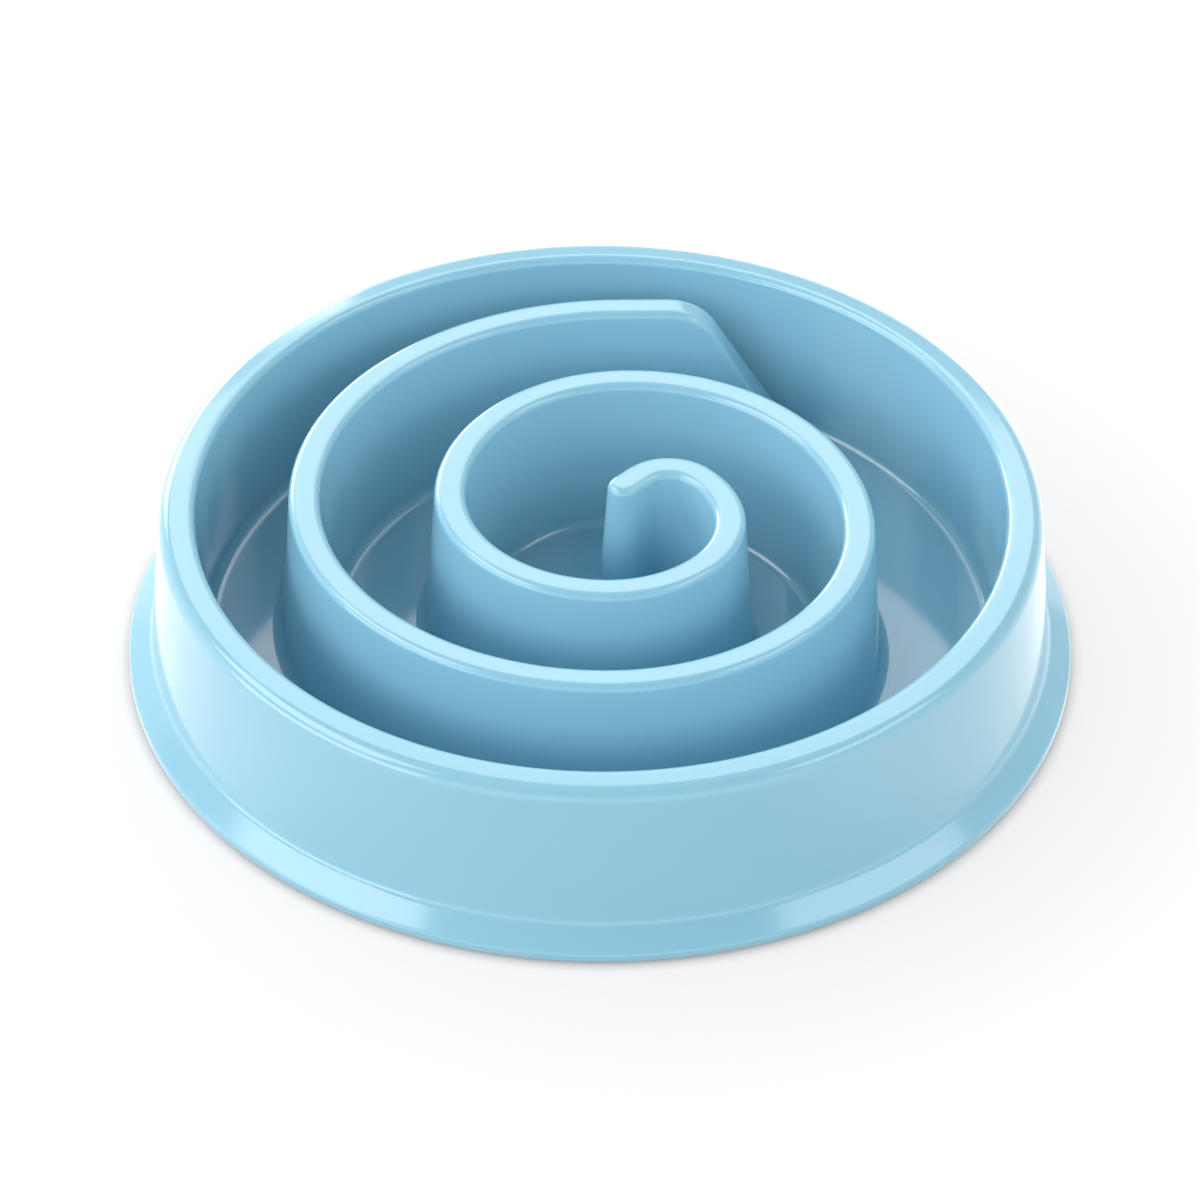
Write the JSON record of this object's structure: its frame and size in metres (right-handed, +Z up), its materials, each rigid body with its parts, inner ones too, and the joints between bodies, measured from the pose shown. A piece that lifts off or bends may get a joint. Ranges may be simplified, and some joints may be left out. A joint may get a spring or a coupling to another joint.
{
  "type": "slow feeder bowl",
  "caption": "Low round slow feeder bowl with a flared foot, a wide rim and a spiral wall that rises from the floor to the rim, on rubber pads under the floor.",
  "frame": {"origin": "on the table, under the middle of the bowl", "axes": "+Z up; +Y towards the spiral's ramped outer end, away from the viewer of the picture; +X to the viewer's right"},
  "size_m": [0.24, 0.24, 0.0468],
  "materials": {
    "bowl_plastic": "glossy light blue, smooth moulded",
    "pad_rubber": "matt light grey rubber"
  },
  "bodies": {
    "root": {"bowl": "bowl_plastic", "foot_front_right": "pad_rubber", "foot_back_right": "pad_rubber", "foot_back_left": "pad_rubber", "foot_front_left": "pad_rubber"}
  },
  "joints": []
}
